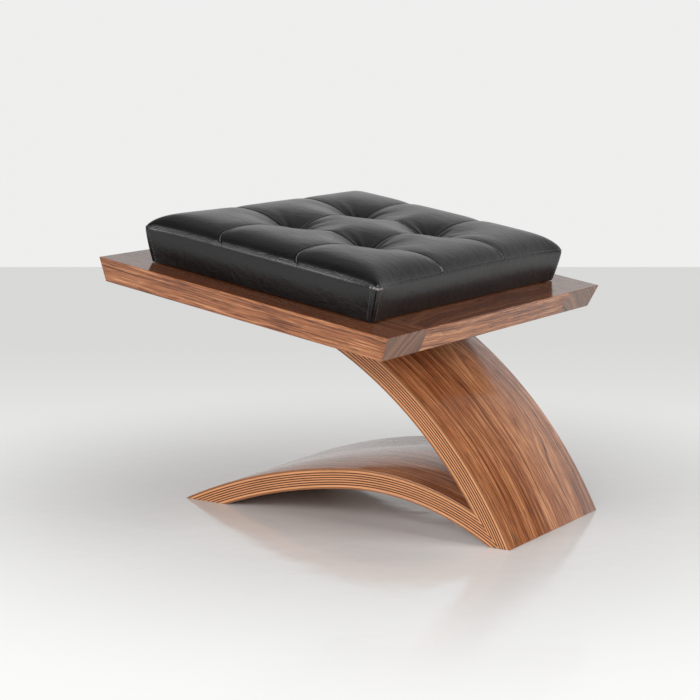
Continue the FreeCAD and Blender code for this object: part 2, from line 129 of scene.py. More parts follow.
class BenchBentSizes(bpy.types.PropertyGroup):
    """The upright's and the base's arcs. A centre is given along X and below the floor."""

    thick: length("Lamination", "Thickness of the upright and of the base", 22.25)
    veneer: length("Face veneer", "Thickness of each walnut face veneer", 2.2)
    upright_radius: length("Upright radius", "Front face of the upright", 464.0)
    upright_x: length("Upright centre", "Centre of the upright's arc, along X", -208.99)
    upright_drop: length("Upright drop", "Floor down to that centre", 203.5)
    upright_back: length("Upright end", "Seat middle back to the upright's top end", 100.0)
    heel_radius: length("Heel radius", "Top face of the base ahead of its crown", 306.0)
    heel_x: length("Heel centre", "Centre of the heel arc, along X", 39.7)
    heel_drop: length("Heel drop", "Floor down to that centre", 245.2)
    tip_radius: length("Tip radius", "Top face of the base behind its crown", 618.5)
    crown: angle("Crown", "Where the base's arcs meet, behind the vertical", 5.8)
    arris: length("Arris", "Rounding of the veneers' long edges", 0.8)


class BenchCushionSizes(bpy.types.PropertyGroup):
    """The cushion, in the seat's frame."""

    leather: length("Leather", "Thickness of the hide", 1.3)
    foot: length("Foot", "Height of the leather's lower edge over the seat", 1.0)
    side: length("Side height", "Seat to the top seam, half way along a side", 39.0)
    side_puff: length("Belly", "How far the middle of a side bellies out", 1.6)
    corner: length("Corner", "Rounding of the top seam's corners in plan", 7.0)
    ear: length("Ear", "How far stuffing pushes each corner out", 6.0)
    corner_droop: length("Corner droop", "How far the top seam falls to each corner", 2.0)
    lean_back: length("Lean back", "How far the soft top has crept back over its foot", 2.6)
    lean_right: length("Lean right", "How far it has crept to the right", 1.2)
    crown: length("Crown", "Seat to the tops of the quilted panels before puffing", 55.0)
    roll: length("Roll", "How quickly the top rises from its seam", 11.0)
    puff: length("Puff", "Most that stuffing pushes the leather out", 7.0)
    tuft: length("Tuft height", "Seat to the bottom of each tuft", 33.0)
    tuft_reach: length("Tuft reach", "How far round it a tuft draws the leather down", 25.0)
    valley: length("Valley", "How far a seam draws the leather down", 2.6)
    wrinkle: length("Wrinkle", "Height of the fine wrinkles round each tuft", 0.5)
    stitch_depth: length("Stitch depth", "How deep the stitching bites", 1.3)
    spread: length("Spread", "How far the leather's foot stands out past the lining", 3.0)
    rib: length("Rib", "Radius of the rolled seam along each side's top", 1.0)
    fold: length("Fold", "Radius of the folded edge along each panel seam", 0.5)
    gather: length("Gather", "Width of each small pleat under a top corner", 3.2)
    stitch: length("Stitch", "Length of each stitch", 1.5)
    pitch: length("Pitch", "One stitch to the next", 2.7)
    thread: length("Thread", "Thickness of the thread", 0.9)
    margin: length("Margin", "A row of stitches to its seam", 3.4)
    skew: length("Skew", "How far the near row's seams run askew at the edge", 6.5)


class BenchColours(bpy.types.PropertyGroup):
    """Finishes, as linear colours."""

    # Walnut, dark also paints the shade on the rails' top faces.
    walnut_dark: paint("Walnut, dark", "Streaks in the walnut", (0.115, 0.031, 0.010))
    walnut: paint("Walnut", "The body of the walnut", (0.35, 0.122, 0.048))
    # Walnut, light also paints the highlight on the veneers' rounded arrises.
    walnut_light: paint("Walnut, light", "Bright bands in the walnut", (0.66, 0.315, 0.145))
    ply_long: paint("Long ply", "Edge of a ply whose grain runs along", (0.68, 0.32, 0.15))
    ply_cross: paint("Cross ply", "Edge of a ply whose grain runs across", (0.065, 0.019, 0.007))
    walnut_end: paint("Walnut end grain", "Sawn ends of the rails", (0.165, 0.085, 0.055))
    veneer_edge: paint("Veneer edge", "Sawn edge of a face veneer", (0.27, 0.105, 0.042))
    birch: paint("Birch", "Seat panel and cushion board", (0.60, 0.44, 0.27))
    leather: paint("Leather", "Black hide", (0.0021, 0.0019, 0.0019))
    cloth: paint("Cloth", "Lining, tape and twine", (0.018, 0.018, 0.019))
    steel: paint("Steel", "Zinc-plated screws", (0.62, 0.60, 0.56))
    floor: paint("Floor", "Studio floor", (0.84, 0.84, 0.83))
    wall: paint("Backdrop", "Studio wall", (0.84, 0.84, 0.84))


class BenchView(bpy.types.PropertyGroup):
    """The camera and the studio."""

    azimuth: angle("Azimuth", "Camera's turn round the bench", 32.81)
    elevation: angle("Elevation", "Camera's height above the level", 9.5)
    distance: length("Distance", "Camera to the point it looks at", 2157.9)
    lens: bpy.props.FloatProperty(
        name="Lens", description="Focal length", default=101.15, subtype="DISTANCE_CAMERA"
    )
    aim_back: length("Aim back", "Origin back to the point it looks at", 46.07)
    aim_height: length("Aim height", "Floor up to the point it looks at", 166.38)
    line: length("Line", "Camera to where the floor turns as pale as the wall, level", 4207.0)
    wall: length("Wall", "Bench to the backdrop, level", 6280.0)


GROUPS = {
    "bench_bent": BenchBentSizes,
    "bench_cushion": BenchCushionSizes,
    "bench_colours": BenchColours,
    "bench_view": BenchView,
}


# ---------------------------------------------------------------- shader expressions
def worked_out(operation, swapped=False):
    """A method that adds the Math node for an operation on a signal and what it is given."""

    def method(self, *others):
        values = (*others, self) if swapped else (self, *others)
        return self.finish.node("Math", {"operation": operation}, dict(enumerate(values)))

    return method


class Signal:
    """A socket of a shader tree. Arithmetic on it adds the node that works it out."""

    __add__ = __radd__ = worked_out("ADD")
    __sub__ = worked_out("SUBTRACT")
    __rsub__ = worked_out("SUBTRACT", swapped=True)
    __mul__ = __rmul__ = worked_out("MULTIPLY")
    __truediv__ = worked_out("DIVIDE")
    __abs__ = worked_out("ABSOLUTE")
    root = worked_out("SQRT")
    whole = worked_out("FLOOR")  # rounded down
    above = worked_out("GREATER_THAN")  # 1 where it is over an edge, else 0
    bearing = worked_out("ARCTAN2")  # the angle whose tangent is this over a run

    def __init__(self, finish, socket):
        self.finish = finish
        self.socket = socket

    def between(self, low, high):
        """Rises smoothly from 0 at low to 1 at high, or falls where low is the greater."""
        settings = {"interpolation_type": "SMOOTHSTEP"}
        if low < high:
            return self.finish.node("MapRange", settings, {0: self, 1: low, 2: high})
        return self.finish.node("MapRange", settings, {0: self, 1: high, 2: low, 3: 1.0, 4: 0.0})


class Finish:
    """A material in the making: its Principled shader and the nodes that feed it."""

    def __init__(self, name, **constants):
        self.material = bpy.data.materials.new(name)
        self.material.use_nodes = True
        self.tree = self.material.node_tree
        self.shader = self.tree.nodes["Principled BSDF"]
        self.feed(**constants)

    def plug(self, socket, value):
        """Links a signal to a socket, or sets the socket to a plain value."""
        if isinstance(value, Signal):
            self.tree.links.new(value.socket, socket)
        else:
            socket.default_value = value

    def node(self, kind, settings=None, inputs=None, output=0):
        """Adds a node of a type, sets it up, feeds its sockets and gives one of its outputs."""
        made = self.tree.nodes.new(f"ShaderNode{kind}")
        for key, value in (settings or {}).items():
            setattr(made, key, value)
        for key, value in (inputs or {}).items():
            self.plug(made.inputs[key], value)
        return Signal(self, made.outputs[output])

    def feed(self, **values):
        """Plugs signals or plain values into the shader's own sockets."""
        for name, value in values.items():
            self.plug(self.shader.inputs[name.replace("_", " ")], value)

    def turned(self, output, kind, turn, **more):
        """A texture coordinate turned about the axes, as three signals."""
        given = self.node("TexCoord", output=output)
        inputs = {"Vector": given, "Rotation": turn, **more}
        split = self.node("SeparateXYZ", None, {0: self.node("Mapping", {"vector_type": kind}, inputs)})
        return [Signal(self, split.socket.node.outputs[k]) for k in range(3)]

    def place(self, turn=(0, 0, 0)):
        """Object coordinates in millimetres, turned about the axes: three signals."""
        return self.turned("Object", "POINT", turn, Scale=(1 / MM,) * 3)

    def facing(self, turn=(0, 0, 0)):
        """The surface's normal, turned the same way: three signals."""
        return self.turned("Normal", "NORMAL", turn)

    def point(self, x, y, z):
        """Three signals or numbers as a vector."""
        return self.node("CombineXYZ", None, {0: x, 1: y, 2: z})

    def noise(self, at, detail=2.0, rough=0.5, warp=0.0, size=1.0):
        """Cloudy noise about 0.5 at a place, with features of a size in the place's own units."""
        if not isinstance(at, Signal):
            at = self.point(*at)
        inputs = {"Vector": at, "Scale": 1 / size, "Detail": detail, "Roughness": rough}
        return self.node("TexNoise", {"noise_dimensions": "3D"}, {**inputs, "Distortion": warp})

    def cells(self, at, size):
        """Distance to the nearest cell's middle, smoothed, for leather grain."""
        return self.node("TexVoronoi", {"feature": "SMOOTH_F1"}, {"Vector": at, "Scale": 1.0 / size})

    def mix(self, factor, low, high):
        """A colour between two, each a linear colour or a signal."""
        low, high = (c if isinstance(c, Signal) else (*c, 1.0) for c in (low, high))
        return self.node("Mix", {"data_type": "RGBA"}, {0: factor, 6: low, 7: high}, output=2)

    def made(self, colour, rough, relief, depth):
        """The material, once its colour, roughness and relief are fed to its shader."""
        self.feed(Base_Color=colour, Roughness=rough)
        self.bump(relief, depth)
        return self.material

    def bump(self, height, depth):
        """Surface relief from a height of 0 to 1, this many metres deep."""
        made = self.node("Bump", None, {"Strength": 1.0, "Distance": depth, "Height": height})
        self.feed(Normal=made)


# ---------------------------------------------------------------- finishes
def scaled(colour, factor):
    """A colour made darker or lighter."""
    return [channel * factor for channel in colour]


def walnut(colours, along, across, deep, end=None, edge=None, top=None, seed=0.0, pith=52):
    """Satin walnut whose grain runs along, with its pith this far below the board.

    end, edge and top are 1 on end grain, on a veneer's rounded and sawn edges, and on a rail's top.
    The rounded edges are lightened as a painted highlight, and a rail's top is darkened as painted
    shade.
    """
    finish = along.finish
    bend = finish.noise((along / 230, across / 70, seed), 1.0)
    drift = finish.noise((along / 70, across / 30, seed + 4), 1.0)
    ring_across = across - 31 + (bend - 0.5) * 30 + (drift - 0.5) * 5
    ring_deep = deep + pith + (bend - 0.5) * 16 + along * 0.02
    ring = (ring_across * ring_across + ring_deep * ring_deep).root()
    band = finish.noise((ring / 6.5, along / 520, seed), 2.0, 0.55)
    line = finish.noise((ring / 1.3, along / 190, seed + 7), 3.0, 0.65)
    streak = finish.noise((ring / 3.1, along / 330, seed + 13), 2.0, 0.6)
    fibre = finish.noise((along / 42, across / 1.7, deep / 1.7), 3.0, 0.65)
    dash = finish.noise((along / 19, across / 1.0, deep / 1.0 + seed), 1.0)
    pores = dash.between(0.56, 0.68)
    cloud = finish.noise((along / 90, across / 40, deep / 40 + seed))
    tone = band * 0.90 + line * 0.95 + fibre * 0.95 + cloud * 0.35 - 1.08
    # Painted shade: a rail's top face is darkened, as less light falls on it than on its sides.
    if top is not None:
        tone = tone - top * 0.12
    base = finish.mix(tone.between(0.18, 0.55), colours.walnut_dark, colours.walnut)
    rich = finish.mix(tone.between(0.46, 0.84), base, colours.walnut_light)
    dark = scaled(colours.walnut_dark, 0.42)
    lines = streak.between(0.58, 0.68) * (0.35 + line * 0.6)
    shown = finish.mix(lines + pores * 0.62, rich, dark)
    # Painted shade: the top face is drawn further towards the dark streak colour.
    if top is not None:
        shown = finish.mix(top * 0.6, shown, colours.walnut_dark)
    if end is not None:
        rings = (line * 0.9 + band * 0.8 - 0.35).between(0.25, 0.75)
        low, high = (scaled(colours.walnut_end, k) for k in (0.5, 1.45))
        shown = finish.mix(end * 0.88, shown, finish.mix(rings, low, high))
    if edge is not None:
        rounded, sawn_face = edge
        # Painted highlight: the rounded arrises are lightened; the sawn edges keep their own darker
        # colour.
        shown = finish.mix(rounded * 0.75, shown, colours.walnut_light)
        shown = finish.mix(sawn_face * 0.8, shown, colours.veneer_edge)
    relief = fibre * 0.4 + band * 0.3 - pores
    return finish.made(shown, 0.09 + fibre * 0.07 + pores * 0.15, relief, 0.00002)


def rail_walnut(name, colours, lengthwise, seed):
    """Solid walnut for one rail, grain along X or Y of the seat, with darker end grain and its top face
    painted darker as shade.
    """
    finish = Finish(name)
    turn = (0, -SEAT_TILT, 0)
    x, y, z = finish.place(turn)
    nx, ny, nz = finish.facing(turn)
    # top marks a rail's upward faces, which walnut() darkens as painted shade.
    top = nz.between(0.7, 0.9)
    z = z - SEAT_MIDDLE.dot(SEAT_UP) / MM
    if lengthwise == "X":
        return walnut(colours, x, y, z, abs(nx).between(0.6, 0.8), None, top, seed, 210)
    return walnut(colours, y, x, z, abs(ny).between(0.6, 0.8), None, top, seed, 150)


def polar(x, z, centre_x, drop):
    """Radius and bearing about an arc's centre, from millimetre signals."""
    run, rise = x - centre_x / MM, z + drop / MM
    return (run * run + rise * rise).root(), rise.bearing(run)


def tip_centre(sizes):
    """The tip arc's centre, along X and below the floor; the base's arcs run smoothly on."""
    step = sizes.tip_radius - sizes.heel_radius
    return sizes.heel_x + step * sin(sizes.crown), sizes.heel_drop + step * cos(sizes.crown)


def bent_place(finish, member, sizes):
    """Along the arc, across the bench, and depth below the member's outer face, in mm."""
    x, y, z = finish.place()
    if member == "upright":
        radius, bearing = polar(x, z, sizes.upright_x, sizes.upright_drop)
        return bearing * (sizes.upright_radius / MM), y, sizes.upright_radius / MM - radius
    join = (sizes.heel_x - sizes.heel_radius * sin(sizes.crown)) / MM
    heel, _ = polar(x, z, sizes.heel_x, sizes.heel_drop)
    tip, _ = polar(x, z, *tip_centre(sizes))
    front = x.above(join)
    depth = (sizes.heel_radius / MM - heel) * front + (sizes.tip_radius / MM - tip) * (1 - front)
    return x * 1.04, y, depth  # near enough: the arch is some 5% longer than its run along X


def veneer_walnut(name, colours, member, sizes, seed):
    """Sliced walnut veneer, its grain along the bend; the upright's is rubbed less glossy."""
    gloss = {"upright": 0.3, "base": 0.5}
    finish = Finish(name, Specular_IOR_Level=gloss[member])
    along, across, depth = bent_place(finish, member, sizes)
    _, sideways, _ = finish.facing()
    # rounded marks the bevelled arrises, which walnut() lightens as a painted highlight; sawn_face
    # marks the sawn edges.
    rounded, sawn_face = abs(sideways).between(0.15, 0.45), abs(sideways).between(0.8, 0.95)
    return walnut(colours, along, across, depth * 0.1, edge=(rounded, sawn_face), seed=seed)


def ply_edge(name, colours, member, sizes, long_grain):
    """The sawn edge of a ply: streaked where its grain runs along, speckled where across."""
    finish = Finish(name, Specular_IOR_Level=0.3)
    along, across, depth = bent_place(finish, member, sizes)
    layer = (depth / 1.25).whole() * 3.7  # another stretch of noise about every ply
    if long_grain:
        streak = finish.noise((along / 42, layer, depth / 0.5), 3.0, 0.65)
        patch = finish.noise((along / 130, layer, 3.0))
        tone = streak * 0.7 + patch * 0.6 - 0.15
        light = scaled(colours.ply_long, 1.2)
        shade = scaled(colours.ply_long, 0.5)
        shown = finish.mix(tone.between(0.15, 0.65), shade, light)
        relief = streak
    else:
        speck = finish.noise((along / 0.9, layer, depth / 0.9), 2.0, 0.6)
        patch = finish.noise((along / 24, layer, 9.0), 3.0, 0.6)
        gap = patch.between(0.62, 0.70)
        pale = scaled(colours.ply_cross, 4.5)
        shade = scaled(colours.ply_cross, 0.5)
        shown = finish.mix(speck * 0.4 + patch * 1.2 - 0.5, shade, pale)
        shown = finish.mix(gap, shown, scaled(colours.ply_cross, 0.12))
        relief = speck - gap
    return finish.made(shown, relief * 0.15 + 0.30, relief, 0.00008)


def birch(name, colours):
    """Pale birch plywood."""
    finish = Finish(name)
    x, y, z = finish.place((0, -SEAT_TILT, 0))
    grain = finish.noise((x / 60, y / 1.6, z / 1.2), 3.0, 0.6)
    cloud = finish.noise((x / 90, y / 30, z / 9))
    low, high = (scaled(colours.birch, k) for k in (0.7, 1.2))
    shown = finish.mix(grain * 0.6 + cloud * 0.4, low, high)
    return finish.made(shown, grain * 0.2 + 0.5, grain, 0.00005)


def hide(name, colours, rough=0.29, painted_highlight_gain=1.0):
    """Smooth black hide: fine grain, faint creases and a soft uneven sheen; its last factor lightens
    the colour as a painted highlight.
    """
    finish = Finish(name, Specular_IOR_Level=0.56)
    x, y, z = finish.place((0, -SEAT_TILT, 0))
    at = finish.point(x, y, z)
    grain = finish.cells(at, 0.8)
    fine = finish.noise(at, 2.0, 0.6, size=0.4)
    crease = finish.noise((x / 15, y / 9, z / 12), 3.0, 0.6, 0.6)
    cloud = finish.noise(at, 3.0, 0.55, size=38.0)
    # Painted highlight: a factor over 1 lightens the hide where seams, ribs and pleats should catch the
    # light.
    dark = scaled(colours.leather, painted_highlight_gain)
    shown = finish.mix(cloud.between(0.3, 0.7), dark, scaled(dark, 1.8))
    relief = grain * 0.4 + fine * 0.3 + crease * 4.5
    return finish.made(shown, cloud * 0.14 + fine * 0.06 + (rough - 0.08), relief, 0.00010)


def thread(name, colours):
    """Waxed black thread, with the twist of its strands."""
    finish = Finish(name)
    x, y, z = finish.place()
    twist = finish.noise((x / 0.4, y / 0.4, z / 0.4), 1.0)
    shown = finish.mix(twist, scaled(colours.cloth, 3.0), scaled(colours.cloth, 8.0))
    return finish.made(shown, twist * 0.15 + 0.22, twist, 0.0001)


def cloth(name, colours, pitch):
    """Close black weave for lining, tape and twine."""
    finish = Finish(name)
    x, y, z = finish.place((0, -SEAT_TILT, 0))
    weave = finish.noise((x / pitch, y / pitch, z / pitch), 1.0)
    fuzz = finish.noise((x / 0.3, y / 0.3, z / 0.3))
    shown = finish.mix(weave * 0.6 + fuzz * 0.4, colours.cloth, scaled(colours.cloth, 2.6))
    return finish.made(shown, fuzz * 0.15 + 0.8, weave + fuzz * 0.4, 0.0002)


def plated(name, colours):
    """Bright zinc plate, faintly brushed."""
    finish = Finish(name, Metallic=1.0)
    x, y, z = finish.place()
    brushed = finish.noise((x / 0.3, y / 0.3, z / 4))
    shown = finish.mix(brushed, scaled(colours.steel, 0.8), colours.steel)
    finish.feed(Base_Color=shown, Roughness=brushed * 0.2 + 0.25)
    return finish.material


# ---------------------------------------------------------------- workshop helpers
def only(*pieces):
    """Selects these pieces alone and makes the first one active."""
    if bpy.context.object and bpy.context.object.mode != "OBJECT":
        bpy.ops.object.mode_set(mode="OBJECT")
    bpy.ops.object.select_all(action="DESELECT")
    for piece in pieces:
        piece.select_set(True)
    bpy.context.view_layer.objects.active = pieces[0]


def added(operator, name, **settings):
    """Adds a piece by one of Blender's operators, alone selected, and names it."""
    bpy.ops.object.select_all(action="DESELECT")
    operator(**settings)
    piece = bpy.context.object
    piece.name = piece.data.name = name
    return piece


def editing(piece, mode="VERT"):
    """Goes into edit mode on a piece, with nothing selected."""
    only(piece)
    bpy.ops.object.mode_set(mode="EDIT")
    bpy.ops.mesh.select_mode(type=mode)
    bpy.ops.mesh.select_all(action="DESELECT")


def done():
    """Leaves edit mode."""
    bpy.ops.object.mode_set(mode="OBJECT")


def applied(piece, kind, **settings):
    """Adds a modifier to a piece, sets it up and applies it."""
    only(piece)
    modifier = piece.modifiers.new(kind.title(), kind)
    for key, value in settings.items():
        setattr(modifier, key, value)
    bpy.ops.object.modifier_apply(modifier=modifier.name)


def settled(piece, matrix=None):
    """Puts a piece in place and leaves its object at the origin, unturned and unscaled."""
    only(piece)
    if matrix is not None:
        piece.matrix_world = matrix @ piece.matrix_world
    bpy.ops.object.transform_apply(location=True, rotation=True, scale=True)
    return piece


def finished(piece, material, body, replaced=()):
    """Gives a piece its finish, hangs it under its body's empty and hides the solids it replaces."""
    piece.data.materials.clear()
    piece.data.materials.append(material)
    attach(piece, body)
    if replaced:
        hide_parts(*replaced)


def refinished(nodes, material):
    """Gives carried-over solids a finish."""
    for name in nodes:
        solid = frame["nodes"][name]
        solid.data.materials.clear()
        solid.data.materials.append(material)


# ---------------------------------------------------------------- bent veneers
BEND_STEP = 6 * MM  # longest flat stretch of a bent strip


def meet(first, first_radius, second, second_radius):
    """The crossing of two circles in the XZ plane that lies further forward."""
    run, rise = second[0] - first[0], second[1] - first[1]
    gap = hypot(run, rise)
    along = (gap**2 + first_radius**2 - second_radius**2) / (2 * gap)
    off = sqrt(first_radius**2 - along**2)
    mid = (first[0] + run * along / gap, first[1] + rise * along / gap)
    ends = [(mid[0] + side * off * rise / gap, mid[1] - side * off * run / gap) for side in (-1, 1)]
    return max(ends)


def mitre(sizes):
    """A point on the heel mitre and the normal of its upper side."""
    upright = (sizes.upright_x, -sizes.upright_drop)
    heel = (sizes.heel_x, -sizes.heel_drop)
    inner = meet(upright, sizes.upright_radius - sizes.thick, heel, sizes.heel_radius)
    outer = meet(upright, sizes.upright_radius, heel, sizes.heel_radius - sizes.thick)
    down = Vector((outer[0] - inner[0], 0, outer[1] - inner[1])).normalized()
    return Vector((inner[0], 0, inner[1])), Vector((-down.z, 0, down.x))


def bent_strip(name, thick, width, arcs):
    """A veneer bent round arcs in turn, each a centre, a radius and its two bearings."""
    (centre, outer, start, _), *_ = arcs
    middle = outer - thick / 2
    piece = added(bpy.ops.mesh.primitive_plane_add, name, size=1)
    piece.scale = (thick, width, 1)
    piece.rotation_euler = (0, -start, 0)
    piece.location = (centre[0] + middle * cos(start), 0, centre[1] + middle * sin(start))
    settled(piece)
    editing(piece)
    bpy.ops.mesh.select_all(action="SELECT")
    for centre, outer, start, end in arcs:
        bpy.ops.mesh.spin(
            steps=max(2, ceil(abs(end - start) * outer / BEND_STEP)),
            dupli=False,
            angle=end - start,
            center=(centre[0], 0, centre[1]),
            axis=(0, 1, 0),
        )
    bpy.ops.mesh.select_all(action="SELECT")
    bpy.ops.mesh.remove_doubles(threshold=1e-6)
    bpy.ops.mesh.normals_make_consistent(inside=False)
    done()
    return piece


def sawn(piece, at, away, below=None):
    """Saws off what lies on the away side of a plane, under a height if one is given."""
    editing(piece, "FACE")
    done()
    for face in piece.data.polygons:
        face.select = below is None or face.center.z < below
    bpy.ops.object.mode_set(mode="EDIT")
    bpy.ops.mesh.bisect(plane_co=at, plane_no=away, use_fill=True, clear_outer=True)
    done()


def veneer(name, depth, arcs, cuts, sizes, width):
    """One face veneer, its outer face this deep in the member, sawn at planes."""
    inset = [(centre, radius - depth, start, end) for centre, radius, start, end in arcs]
    piece = bent_strip(name, sizes.veneer, width, inset)
    for cut in cuts:
        sawn(piece, *cut)
    applied(
        piece, "BEVEL", width=sizes.arris, segments=2, limit_method="ANGLE", angle_limit=radians(40)
    )
    only(piece)
    bpy.ops.object.shade_smooth_by_angle(angle=radians(25))
    return piece


class BENCH_OT_bent_members(bpy.types.Operator):
    """Bend, saw and finish the upright's and the base's veneers, and finish their plies"""

    bl_idname = "bench.bent_members"
    bl_label = "Bent members"

    def execute(self, context):
        sizes = context.scene.bench_bent
        colours = context.scene.bench_colours
        low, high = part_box("upright_front_veneer")
        width = high.y - low.y
        floor = (Vector((0, 0, 0)), Vector((0, 0, -1)))
        corner, upward = mitre(sizes)
        under = (SEAT_MIDDLE + SEAT_UP * SEAT_UNDER, SEAT_UP)
        end = (SEAT_MIDDLE - SEAT_ALONG * sizes.upright_back, -SEAT_ALONG)
        # Each strip is bent longer than it is needed, and sawn off at both ends.
        upright = (sizes.upright_x, -sizes.upright_drop)
        upright_arcs = [(upright, sizes.upright_radius, radians(15), radians(110))]
        heel = (sizes.heel_x, -sizes.heel_drop)
        tip_x, tip_drop = tip_centre(sizes)
        base_arcs = [
            (heel, sizes.heel_radius, radians(35), pi / 2 + sizes.crown),
            ((tip_x, -tip_drop), sizes.tip_radius, pi / 2 + sizes.crown, radians(125)),
        ]
        heel_cut = (corner, -upward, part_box("base_top_veneer")[1].z + sizes.thick)
        upright_cuts = [floor, heel_cut, under, end]
        base_cuts = [floor, (corner, upward)]
        inner = sizes.thick - sizes.veneer
        jobs = [
            ("upright_front_veneer", 0, upright_arcs, upright_cuts),
            ("upright_rear_veneer", inner, upright_arcs, upright_cuts),
            ("base_top_veneer", 0, base_arcs, base_cuts),
            ("base_bottom_veneer", inner, base_arcs, base_cuts),
        ]
        for seed, (solid, depth, arcs, cuts) in enumerate(jobs):
            member, name = solid.split("_", 1)
            piece = veneer(f"{solid}_face", depth, arcs, cuts, sizes, width)
            finish = veneer_walnut(f"{member} {name} walnut", colours, member, sizes, 11.0 * seed + 3)
            finished(piece, finish, "bench", [solid])
        for member in ("upright", "base"):
            for long_grain in (True, False):
                first = 1 if long_grain else 2
                names = [f"{member}_ply_{k:02d}" for k in range(first, PLIES + 1, 2)]
                kind = "long" if long_grain else "cross"
                refinished(names, ply_edge(f"{member} {kind} ply", colours, member, sizes, long_grain))
        return {"FINISHED"}


class BENCH_OT_seat_frame(bpy.types.Operator):
    """Finish the four walnut rails, the seat panel and the joinery"""

    bl_idname = "bench.seat_frame"
    bl_label = "Seat frame"

    def execute(self, context):
        colours = context.scene.bench_colours
        for seed, name in enumerate(RAILS):
            lengthwise = "X" if "side" in name else "Y"
            refinished([name], rail_walnut(f"{name} walnut", colours, lengthwise, 5.0 * seed + 1))
        pale = birch("birch ply", colours)
        refinished(["seat_panel", "cushion_board", "heel_spline", "rail_dowels"], pale)
        refinished(["seat_screws"], plated("zinc plate", colours))
        return {"FINISHED"}


# ---------------------------------------------------------------- cushion
MARKS = ("held", "seams", "ribs", "ends", "corners")
COLUMNS, ROWS = 48, 66  # cells front to back and side to side, three panels each way
SIDE_RINGS = 6
STUFFING_FRAMES = 20
ACROSS = Vector((0, 1, 0))


def eased(value, low, high):
    """Rises smoothly from 0 at low to 1 at high."""
    t = max(0.0, min(1.0, (value - low) / (high - low)))
    return t * t * (3 - 2 * t)


def rounded_plan(u, v, half_u, half_v, corner):
    """Moves a point of a square-cornered plan into one with rounded corners."""
    past_u, past_v = abs(u) - (half_u - corner), abs(v) - (half_v - corner)
    if past_u <= 0 or past_v <= 0:
        return u, v
    shrink = max(past_u, past_v) / hypot(past_u, past_v)
    new_u, new_v = half_u - corner + past_u * shrink, half_v - corner + past_v * shrink
    return new_u * (1 if u > 0 else -1), new_v * (1 if v > 0 else -1)


